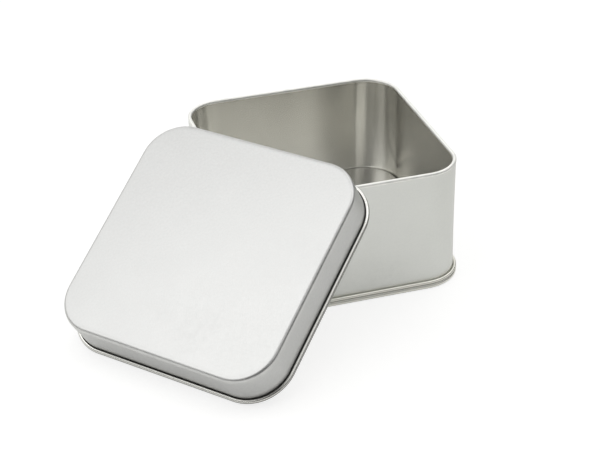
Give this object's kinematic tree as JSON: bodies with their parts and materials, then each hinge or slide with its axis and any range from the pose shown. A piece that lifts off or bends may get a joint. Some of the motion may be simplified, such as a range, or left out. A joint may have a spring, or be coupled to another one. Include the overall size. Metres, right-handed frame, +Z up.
{
  "type": "square tin box",
  "caption": "Open square tinplate box with rounded corners, rolled rim and seamed base, with its separate slip lid leaning on it.",
  "frame": {"origin": "bottom centre of the bounding box of box and lid together", "axes": "+Z up; the box's sides run along X and Y; the lid leans on the box's corner at -X -Y"},
  "size_m": [0.158, 0.1502, 0.0633],
  "materials": {
    "box_wall": "satin tinplate, fine upright grain",
    "box_bottom": "satin tinplate, slightly warmer",
    "lid_sheet": "matt silver tinplate with a fine speckle"
  },
  "bodies": {
    "root": {"wall": "box_wall", "bottom": "box_bottom", "lid": "lid_sheet"}
  },
  "joints": []
}
